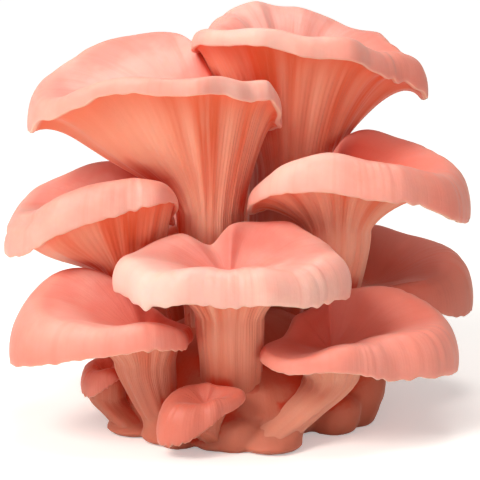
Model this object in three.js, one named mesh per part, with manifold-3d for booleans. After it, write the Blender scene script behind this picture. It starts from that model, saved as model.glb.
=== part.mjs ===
// A cluster of pink oyster mushrooms, cut whole and standing on its common butt.
// Millimetres. +X is right, +Y is towards the back, +Z is up. The origin is the middle of the flat cut
// face that the cluster rests on. Each mushroom is one piece of flesh: a funnel-shaped cap with a
// rolled margin, gills that run down onto the stem, and a foot that sits in a socket of the butt.
import * as THREE from "three";
import { mergeVertices } from "three/addons/utils/BufferGeometryUtils.js";
import Module from "manifold-3d";

const wasm = await Module();
wasm.setup();

// Driving dimensions that all mushrooms share
const MARGIN_THICKNESS = 1.8;
const LEAST_ROLL = 2.2;
const RIB_DEPTH = 2;
const ROOM_FOR_RIBS = 14;
const FOOT_GAP = 0.45;

// One entry for each mushroom. neck is the point where the cap flares from the stem, foot the stem's
// lower end. reach, rise and drop are given round the cap at equal angles, starting at the right and
// turning by way of the back: how far the margin stands out from the neck's axis, how high its crest
// is above the neck, and how far its lip hangs below the crest. dish is the height of the hollow in
// the cap's middle. flare and hollow shape the underside, tuck is the angle that the lip turns in by,
// waves is [count, height, phase] round the margin, and ribs is the number of gills. bulge is
// [middle angle, spread, height] of the place where the underside is fuller.
const MUSHROOMS = {
  mushroom_top_left: {
    neck: [-10, -8, 70], neckRadius: 10.5, foot: [-9, -6, 12], footRadius: 9, dish: 31,
    flare: 0.12, hollow: 0.38, tuck: 8, waves: [7, 1.0, 0.6], ribs: 26, bulge: [191, 76, 4.6],
    reach: [23, 17, 15, 15.2, 19.3, 31.5, 47, 56, 62, 57, 47, 40, 34, 30, 27, 26],
    rise: [36, 32, 30, 37, 45.3, 57.5, 55, 49, 41, 42, 48, 50, 49, 48, 46, 42],
    drop: [8, 6, 5, 5, 5, 5, 7, 10, 14, 7, 5, 5, 5, 6, 6, 7],
  },
  mushroom_top_right: {
    neck: [17.3, 19, 80], neckRadius: 14.8, foot: [12, 18, 12], footRadius: 10, dish: 26,
    flare: 0.2, hollow: 0.27, tuck: 8, waves: [7, 1.1, 2.2], ribs: 26, bulge: [158, 42, 2.2],
    reach: [47, 44, 39.5, 34.8, 30, 33.2, 36.5, 32.6, 28.5, 35, 42.5, 41.2, 39, 38.8, 38.4, 42.8],
    rise: [38, 42, 46, 50, 54, 55, 54, 52, 51, 48, 52, 52, 51, 49, 46, 42],
    drop: [13, 11, 9, 7, 7, 12, 19, 20, 9.5, 6, 5, 5, 6, 7, 8, 10],
  },
  mushroom_mid_left: {
    neck: [-36, -10, 46], neckRadius: 10, foot: [-26, -4, 10], footRadius: 7.5, dish: 24,
    flare: 0.12, hollow: 0.22, tuck: 12, waves: [5, 0.8, 1.1], ribs: 20, bulge: [204, 66, 4.8],
    reach: [13, 13, 13, 15, 18, 24, 31, 39, 44, 41, 36, 31, 27, 25, 22, 16],
    rise: [22, 25, 32, 37, 39, 38, 36, 31, 25, 28, 34, 38, 40, 38, 34, 27],
    drop: [3, 3, 4, 5, 6, 7, 9, 12, 14, 15, 14, 12, 10, 7, 4, 3],
  },
  mushroom_mid_right: {
    neck: [33, -11, 64], neckRadius: 10, foot: [28, 0, 12], footRadius: 7, dish: 15,
    flare: 0.3, hollow: 0.15, tuck: 10, waves: [5, 0.7, 0.2], ribs: 22,
    reach: [44, 42, 38, 31, 14.5, 13.5, 14, 22, 30.5, 32.5, 32, 31, 30, 32, 36, 42],
    rise: [21, 24, 28, 30, 27, 22, 17, 12, 10.5, 17, 26, 29, 30, 28, 25, 22],
    drop: [17, 14, 11, 8, 5, 3, 3, 4, 5, 6, 9, 11, 12, 12, 12, 15],
  },
  mushroom_front: {
    neck: [-3.3, -41, 42], neckRadius: 11, foot: [-2.3, -33, 4], footRadius: 9.5, dish: 13,
    flare: 0.3, hollow: 0.1, tuck: 22, waves: [6, 0.9, 1.9], ribs: 22,
    reach: [38, 34, 29, 24, 19, 18, 25, 32, 36.5, 35.5, 33, 30, 28, 29, 33, 37],
    rise: [22, 25, 27, 27.5, 26, 21, 23.5, 22, 20, 19.5, 20, 20.5, 20.5, 20.5, 20, 21],
    drop: [15, 11, 7, 5, 4, 3, 5, 9, 11, 11, 10.5, 10.5, 10.5, 11, 11, 13],
  },
  mushroom_low_left: {
    neck: [-31, -36, 25], neckRadius: 9.5, foot: [-25, -42, 2], footRadius: 5.5, dish: 10,
    flare: 0.3, hollow: 0.1, tuck: 12, waves: [4, 0.6, 0.9], ribs: 20,
    reach: [15, 13, 13, 14, 18.5, 36, 44, 38, 31, 26, 22, 17],
    rise: [12, 13, 14, 16.5, 23, 28.3, 22, 18, 18, 19, 16, 13],
    drop: [4, 3, 3, 3, 7, 16, 20, 14, 9, 8, 7, 5],
  },
  mushroom_low_right: {
    neck: [30, -33, 20], neckRadius: 9.5, foot: [10, -49, 2], footRadius: 8.5, dish: 9,
    flare: 0.3, hollow: 0.1, tuck: 14, waves: [5, 0.8, 2.7], ribs: 20,
    reach: [42, 38, 29, 18.5, 14, 13.5, 14, 16, 17, 24, 30, 29, 27, 27, 28, 35],
    rise: [19, 23, 26, 26, 24, 22, 19, 16, 14, 12.5, 12, 13, 15, 16, 16, 17],
    drop: [16, 13, 10, 7, 5, 4, 4, 4, 4, 4, 4, 5, 7, 9, 12, 14],
  },
  mushroom_far_right: {
    neck: [45, 14, 28], neckRadius: 10, foot: [38, 15, 3], footRadius: 7.5, dish: 12,
    flare: 0.3, hollow: 0.1, tuck: 14, waves: [4, 0.8, 0.4], ribs: 20,
    reach: [36, 33, 24, 20, 14.5, 13.5, 16, 27],
    rise: [21, 25, 28, 23, 18, 15, 14, 16],
    drop: [19, 12, 8, 5, 4, 4, 5, 9],
  },
  mushroom_foot_left: {
    neck: [-44.3, -26, 11], neckRadius: 6, foot: [-35.5, -31, 2], footRadius: 7.3, dish: 8,
    flare: 0.25, hollow: 0.05, tuck: 25, waves: [3, 0.3, 0.9], ribs: 14,
    reach: [8, 8.2, 9, 9.5, 9.5, 9, 9, 9.5, 10, 9, 8, 8],
    rise: [12, 12, 12, 12, 11.5, 11, 10.5, 10, 10, 10.5, 11, 11.5],
    drop: [3, 3, 4, 5, 6, 7, 8, 8, 8, 6, 4, 3],
  },
  mushroom_foot_front: {
    neck: [-11, -53, 8], neckRadius: 4.5, foot: [-8, -49, 2], footRadius: 5, dish: 8,
    flare: 0.3, hollow: 0.1, tuck: 20, waves: [4, 0.4, 0.3], ribs: 14,
    reach: [12.5, 8.5, 8, 10.5, 15.5, 15, 10, 9.5],
    rise: [12, 13, 13, 12.5, 10.5, 9.5, 10.5, 11.5],
    drop: [3, 3, 3, 4, 12, 12.5, 8, 5],
  },
  mushroom_back_left: {
    neck: [-27, 21, 44], neckRadius: 9, foot: [-21, 14, 6], footRadius: 7.5, dish: 10,
    flare: 0.3, hollow: 0.1, tuck: 14, waves: [5, 0.8, 1.4], ribs: 18,
    reach: [20, 26, 32, 34, 28, 18, 13, 15],
    rise: [20, 18, 16, 16, 16, 14, 16, 18],
    drop: [5, 7, 11, 13, 12, 5, 3, 3],
  },
  mushroom_back_right: {
    neck: [9, 49, 61], neckRadius: 9.5, foot: [9, 38, 3], footRadius: 7.5, dish: 10,
    flare: 0.3, hollow: 0.1, tuck: 14, waves: [5, 0.8, 0.8], ribs: 20,
    reach: [28, 32, 30, 28, 24, 16, 13.5, 17],
    rise: [16, 16, 15, 16, 18, 18, 18, 17],
    drop: [9, 12, 13, 9, 6, 3, 3, 5],
  },
  mushroom_back_low: {
    neck: [-19, 41, 20], neckRadius: 8.5, foot: [-14, 33, 3], footRadius: 7, dish: 8,
    flare: 0.3, hollow: 0.1, tuck: 14, waves: [4, 0.8, 2.0], ribs: 18,
    reach: [13.5, 18, 27, 30, 28, 16, 12.5, 12.5],
    rise: [14, 13, 12, 12, 13, 14, 14, 14],
    drop: [7, 10, 11, 10, 8, 4, 3, 4],
  },
};

// A smooth closed run through values given at equal angles.
function around(values, angle) {
  const count = values.length;
  const turn = ((angle / (2 * Math.PI)) * count + count) % count;
  const step = Math.floor(turn);
  const f = turn - step;
  const [a, b, c, d] = [-1, 0, 1, 2].map((k) => values[(step + k + count) % count]);
  const linear = (c - a) * f;
  const square = (2 * a - 5 * b + 4 * c - d) * f * f;
  const cube = (3 * b - a - 3 * c + d) * f * f * f;
  return 0.5 * (2 * b + linear + square + cube);
}

// The margin at one angle round the cap.
function marginOf(m, angle) {
  const [count, height, phase] = m.waves;
  const swell = height * Math.sin(count * angle + phase);
  const ripple = 0.5 * height * Math.sin((2 * count + 1) * angle + 2.1 * phase);
  const reach = around(m.reach, angle) + swell + ripple;
  const rise = around(m.rise, angle) + 0.8 * height * Math.sin((count + 1) * angle + 1.7 * phase);
  const drop = Math.max(around(m.drop, angle), 1.5);
  const roll = Math.max(LEAST_ROLL, 0.5 * drop);
  return { reach, rise, drop, roll, crest: reach - roll };
}

function neckRadiusAt(m, angle) {
  return m.neckRadius * (1 + 0.06 * Math.cos(2 * angle + m.waves[2]));
}

// Points of the cap's section, as [distance from the neck's axis, height above the neck].
function topPoint(m, margin, q) {
  const climb = Math.sin(0.5 * Math.PI * q) ** 1.6;
  return [q * margin.crest, m.dish + (margin.rise - m.dish) * climb];
}

function rollPoint(m, margin, share) {
  const most = Math.PI / 2 + THREE.MathUtils.degToRad(m.tuck);
  const turn = share * most;
  const depth = margin.drop / (1 - Math.cos(most));
  return [
    margin.crest + margin.roll * Math.sin(turn),
    margin.rise - depth * (1 - Math.cos(turn)),
  ];
}

function underPoint(m, margin, angle, t) {
  const tuck = THREE.MathUtils.degToRad(m.tuck);
  const [lipRadius, lipHeight] = rollPoint(m, margin, 1);
  const start = [
    lipRadius - MARGIN_THICKNESS * Math.cos(tuck),
    lipHeight + MARGIN_THICKNESS * Math.sin(tuck),
  ];
  const neck = neckRadiusAt(m, angle);
  const inward = m.hollow * (margin.reach - neck);
  const outerPull = [
    start[0] + 0.4 * margin.roll * Math.sin(tuck) - inward,
    margin.rise + 0.2 * margin.drop - 0.35 * m.hollow * margin.rise,
  ];
  const innerPull = [neck, m.flare * margin.rise];
  const end = [neck, 0];
  const weights = [(1 - t) ** 3, 3 * (1 - t) ** 2 * t, 3 * (1 - t) * t * t, t ** 3];
  const corners = [start, outerPull, innerPull, end];
  return [0, 1].map((axis) => weights.reduce((sum, w, i) => sum + w * corners[i][axis], 0));
}

// The direction out of the underside, in the same plane.
function underNormal(m, margin, angle, t) {
  const [fromRadius, fromHeight] = underPoint(m, margin, angle, Math.max(0, t - 0.02));
  const [toRadius, toHeight] = underPoint(m, margin, angle, Math.min(1, t + 0.02));
  const length = Math.hypot(toRadius - fromRadius, toHeight - fromHeight);
  return [(fromHeight - toHeight) / length, (toRadius - fromRadius) / length];
}

// The stem's sections are level. This is the middle of one, from the neck (0) to the foot (1).
function stemMiddle(m, s) {
  const neck = new THREE.Vector3(...m.neck);
  const foot = new THREE.Vector3(...m.foot);
  const height = neck.z - foot.z;
  const line = new THREE.CubicBezierCurve3(
    neck,
    new THREE.Vector3(neck.x, neck.y, neck.z - 0.3 * height),
    new THREE.Vector3(foot.x, foot.y, foot.z + 0.3 * height),
    foot,
  );
  return line.getPoint(s);
}

function stemRadiusAt(m, angle, s) {
  const blend = s * s * (3 - 2 * s);
  return neckRadiusAt(m, angle) * (1 - blend) + m.footRadius * blend;
}

const TOP_SHARES = [0.3, 0.58, 0.82, 1];
const ROLL_SHARES = [0.5, 1];
const UNDER_SHARES = [0, 0.16, 0.4, 0.68, 1];
const STEM_SHARES = [0.4, 0.75, 1];

// Joins closed rings of points, where each next ring has as many points, twice as many or half.
function loft(rings, firstTip, lastTip) {
  const points = [firstTip, ...rings.flat(), lastTip];
  const faces = [];
  const starts = [];
  rings.reduce((start, ring) => {
    starts.push(start);
    return start + ring.length;
  }, 1);
  rings.forEach((ring, i) => {
    if (i === rings.length - 1) return;
    const here = ring.length;
    const next = rings[i + 1].length;
    const at = (j) => starts[i] + (j % here);
    const to = (j) => starts[i + 1] + (j % next);
    for (let j = 0; j < Math.min(here, next); j++) {
      if (here === next) {
        faces.push([at(j), to(j), to(j + 1)], [at(j), to(j + 1), at(j + 1)]);
      } else if (next > here) {
        faces.push([at(j), to(2 * j), to(2 * j + 1)]);
        faces.push([at(j), to(2 * j + 1), at(j + 1)]);
        faces.push([at(j + 1), to(2 * j + 1), to(2 * j + 2)]);
      } else {
        faces.push([at(2 * j), to(j), at(2 * j + 1)]);
        faces.push([at(2 * j + 1), to(j), to(j + 1)]);
        faces.push([at(2 * j + 1), to(j + 1), at(2 * j + 2)]);
      }
    }
  });
  const first = rings[0].length;
  const last = rings.at(-1).length;
  for (let j = 0; j < first; j++) faces.push([0, 1 + j, 1 + ((j + 1) % first)]);
  for (let j = 0; j < last; j++) {
    faces.push([starts.at(-1) + ((j + 1) % last), starts.at(-1) + j, points.length - 1]);
  }
  const geometry = new THREE.BufferGeometry();
  geometry.setAttribute("position", new THREE.Float32BufferAttribute(points.flat(), 3));
  geometry.setIndex(faces.flat());
  return geometry;
}

function anglesOf(count) {
  return Array.from({ length: count }, (_, j) => (2 * Math.PI * j) / count);
}

function placeOnCap(m, angle, [radius, height]) {
  const [x, y, z] = m.neck;
  return [x + radius * Math.cos(angle), y + radius * Math.sin(angle), z + height];
}

function stemRing(m, count, s, grow) {
  const { x, y, z } = stemMiddle(m, s);
  return anglesOf(count).map((angle) => {
    const radius = stemRadiusAt(m, angle, s) + grow;
    return [x + radius * Math.cos(angle), y + radius * Math.sin(angle), s < 1 ? z : z - grow];
  });
}

function footTip(m, grow) {
  const [x, y, z] = m.foot;
  return [x, y, z - 0.12 * m.footRadius - grow];
}

// How much fuller the underside is at its bulge.
function bulgeAt(m, angle, t) {
  const [middle, spread, height] = m.bulge ?? [0, 90, 0];
  const turn = (angle - THREE.MathUtils.degToRad(middle)) / 2;
  const away = Math.sin(turn) / Math.sin(THREE.MathUtils.degToRad(spread) / 2);
  return height * Math.exp(-away * away) * Math.sin(Math.PI * Math.min(1, t / 0.8)) ** 1.5;
}

// The whole mushroom, with its outside moved out by grow.
function mushroomGeometry(m, grow = 0) {
  const capRing = (point, out, up) =>
    anglesOf(m.ribs).map((angle) => {
      const [radius, height] = point(marginOf(m, angle));
      return placeOnCap(m, angle, [radius + out * grow, height + up * grow]);
    });
  const gillRing = (t) => {
    const window = Math.min(1, t / 0.16) * Math.min(1, (1.15 - t) / 0.4);
    const ring = (share) =>
      anglesOf(m.ribs).map((angle) => {
        const margin = marginOf(m, angle);
        const [radius, height] = underPoint(m, margin, angle, t);
        const room = Math.min(1, Math.max(0, margin.reach - m.neckRadius - 3) / ROOM_FOR_RIBS);
        const depth = share * RIB_DEPTH * window * room + bulgeAt(m, angle, t) + grow;
        const [out, up] = underNormal(m, margin, angle, t);
        const place = [radius + depth * out, height + depth * up];
        return new THREE.Vector3(...placeOnCap(m, angle, place));
      });
    const crests = ring(1);
    const valleys = grow > 0 ? crests : ring(0);
    return crests.flatMap((crest, j) => {
      const valley = valleys[j].clone().lerp(valleys[(j + 1) % m.ribs], 0.5);
      return [crest.toArray(), valley.toArray()];
    });
  };
  const rings = [
    ...TOP_SHARES.map((q) => capRing((margin) => topPoint(m, margin, q), 0, 1)),
    ...ROLL_SHARES.map((share) => capRing((margin) => rollPoint(m, margin, share), 1, 1 - 1.5 * share)),
    ...UNDER_SHARES.map(gillRing),
    ...STEM_SHARES.map((s) => stemRing(m, m.ribs, s, grow)),
  ];
  return loft(rings, placeOnCap(m, 0, [0, m.dish + grow]), footTip(m, grow));
}

function solidOf(geometry) {
  const bare = geometry.clone();
  bare.deleteAttribute("normal");
  bare.deleteAttribute("uv");
  const merged = mergeVertices(bare, 1e-4);
  return new wasm.Manifold(
    new wasm.Mesh({
      numProp: 3,
      vertProperties: new Float32Array(merged.attributes.position.array),
      triVerts: new Uint32Array(merged.index.array),
    }),
  );
}

function geometryOf(solid) {
  const mesh = solid.getMesh();
  const geometry = new THREE.BufferGeometry();
  geometry.setAttribute("position", new THREE.BufferAttribute(new Float32Array(mesh.vertProperties), 3));
  geometry.setIndex(new THREE.BufferAttribute(new Uint32Array(mesh.triVerts), 1));
  return geometry;
}

// The butt: a mound that all feet stand in, with rounded stubs round its edge, flat below. Its profile
// gives shares of the reach and of the height.
const MOUND = { reach: [44, 43, 42, 42, 43, 48, 50, 44], height: 36 };
const MOUND_PROFILE = [
  [0.88, 0],
  [0.94, 0.06],
  [0.98, 0.16],
  [1, 0.28],
  [0.88, 0.48],
  [0.66, 0.7],
  [0.36, 0.9],
];
const STUBS = [
  { at: [-20, -46], radius: 6, height: 7, lean: [-1, -1] },
  { at: [-2, -48], radius: 8, height: 11, lean: [0, -2] },
  { at: [31, -29], radius: 8, height: 13, lean: [3, -3] },
  { at: [36, -19], radius: 10, height: 22, lean: [6, -3] },
  { at: [38, -4], radius: 9, height: 18, lean: [6, 1] },
  { at: [-40, -4], radius: 8, height: 14, lean: [-3, 0] },
  { at: [-35, 20], radius: 8, height: 14, lean: [-2, 1] },
  { at: [24, 34], radius: 8, height: 12, lean: [1, 2] },
];

function moundGeometry() {
  const rings = MOUND_PROFILE.map(([wide, high]) =>
    anglesOf(24).map((angle) => {
      const radius = wide * around(MOUND.reach, angle);
      return [radius * Math.cos(angle), radius * Math.sin(angle), high * MOUND.height];
    }),
  );
  return loft(rings.reverse(), [0, 0, MOUND.height], [0, 0, 0]);
}

function stubGeometry({ at, radius, height, lean }) {
  const outline = [
    new THREE.Vector2(0, 0),
    new THREE.Vector2(0.85 * radius, 0),
    new THREE.Vector2(radius, 0.25 * height),
    new THREE.Vector2(0.92 * radius, 0.6 * height),
    new THREE.Vector2(0.6 * radius, 0.9 * height),
    new THREE.Vector2(0, height),
  ];
  const lathe = new THREE.LatheGeometry(outline, 10);
  lathe.rotateX(Math.PI / 2);
  const slant = new THREE.Matrix4().makeShear(0, 0, 0, 0, lean[0] / height, lean[1] / height);
  return lathe.applyMatrix4(slant).translate(at[0], at[1], 0);
}

function buttSolid() {
  const all = Object.values(MUSHROOMS);
  const stubs = STUBS.map((stub) => solidOf(stubGeometry(stub)));
  const whole = stubs.reduce((sum, stub) => sum.add(stub), solidOf(moundGeometry()));
  const sockets = all.map((m) => solidOf(mushroomGeometry(m, FOOT_GAP)));
  const pieces = sockets.reduce((sum, socket) => sum.subtract(socket), whole).decompose();
  return pieces.sort((a, b) => b.volume() - a.volume())[0];
}

const flesh = new THREE.MeshStandardMaterial({ color: 0xf0937e, roughness: 0.6, metalness: 0 });
const buttFlesh = new THREE.MeshStandardMaterial({ color: 0xc9785f, roughness: 0.75, metalness: 0 });

const cluster = new THREE.Group();
for (const [name, m] of Object.entries(MUSHROOMS)) {
  const mesh = new THREE.Mesh(mushroomGeometry(m), flesh.clone());
  mesh.name = name;
  cluster.add(mesh);
}
const butt = new THREE.Mesh(geometryOf(buttSolid()), buttFlesh);
butt.name = "base_clump";
cluster.add(butt);

export default cluster;
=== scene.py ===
# A cluster of pink oyster mushrooms on its cut butt, with fine gills, wavy margins and soft flesh.
# Shapes are worked out in millimetres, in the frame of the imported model: +X is right, +Y is towards
# the back, +Z is up, and the origin is the middle of the flat face that the cluster rests on.
import math

import bpy
import numpy as np
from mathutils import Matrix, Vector
from mathutils.bvhtree import BVHTree
from mathutils.kdtree import KDTree


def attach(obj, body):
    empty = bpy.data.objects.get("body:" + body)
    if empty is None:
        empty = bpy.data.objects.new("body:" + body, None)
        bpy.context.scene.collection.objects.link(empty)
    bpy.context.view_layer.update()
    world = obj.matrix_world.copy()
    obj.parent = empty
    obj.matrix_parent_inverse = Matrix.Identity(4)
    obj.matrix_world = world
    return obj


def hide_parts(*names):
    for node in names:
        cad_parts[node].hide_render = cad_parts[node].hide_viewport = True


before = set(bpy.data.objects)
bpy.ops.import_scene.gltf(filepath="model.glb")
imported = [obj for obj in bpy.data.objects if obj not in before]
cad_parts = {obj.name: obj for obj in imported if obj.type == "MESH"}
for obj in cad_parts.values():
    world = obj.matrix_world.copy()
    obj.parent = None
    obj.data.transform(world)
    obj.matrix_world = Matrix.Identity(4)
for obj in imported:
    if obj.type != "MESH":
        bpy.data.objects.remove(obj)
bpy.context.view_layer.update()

MM = 0.001

# Sizes that all mushrooms share, as in the solid model
MARGIN_THICKNESS = 1.8
LEAST_ROLL = 2.2
LEAST_DROP = 1.5
FOOT_TIP = 0.12

# Relief of the fine surface
FOLD_HEIGHT = 0.55
GILL_HEIGHT = 0.26
GILLS_PER_FOLD = 4
STEM_RELIEF = 0.625
STEM_RIDGE = 0.6
STEM_SWELL = 0.5
LUMP_HEIGHT = 0.9
BROAD_LUMP = 22
SMALL_LUMP = 9
STEM_LUMP = 16
SCALLOP = 0.3
WRINKLE_HEIGHT = 0.3
LIP_BULGE = 0.45

# Rings on each part of a mushroom. A wider cap has more points in a ring: a whole number of coarse
# rings, one for each REACH_PER_TURN millimetres that it reaches.
CAP_ROWS = 26
LIP_ROWS = 14
TURNED_EDGE = (0.3, 0.7)
UNDER_ROWS = 33
STEM_ROWS = 28
LEAST_TURNS = 4
MOST_TURNS = 7
REACH_PER_TURN = 7

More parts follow.
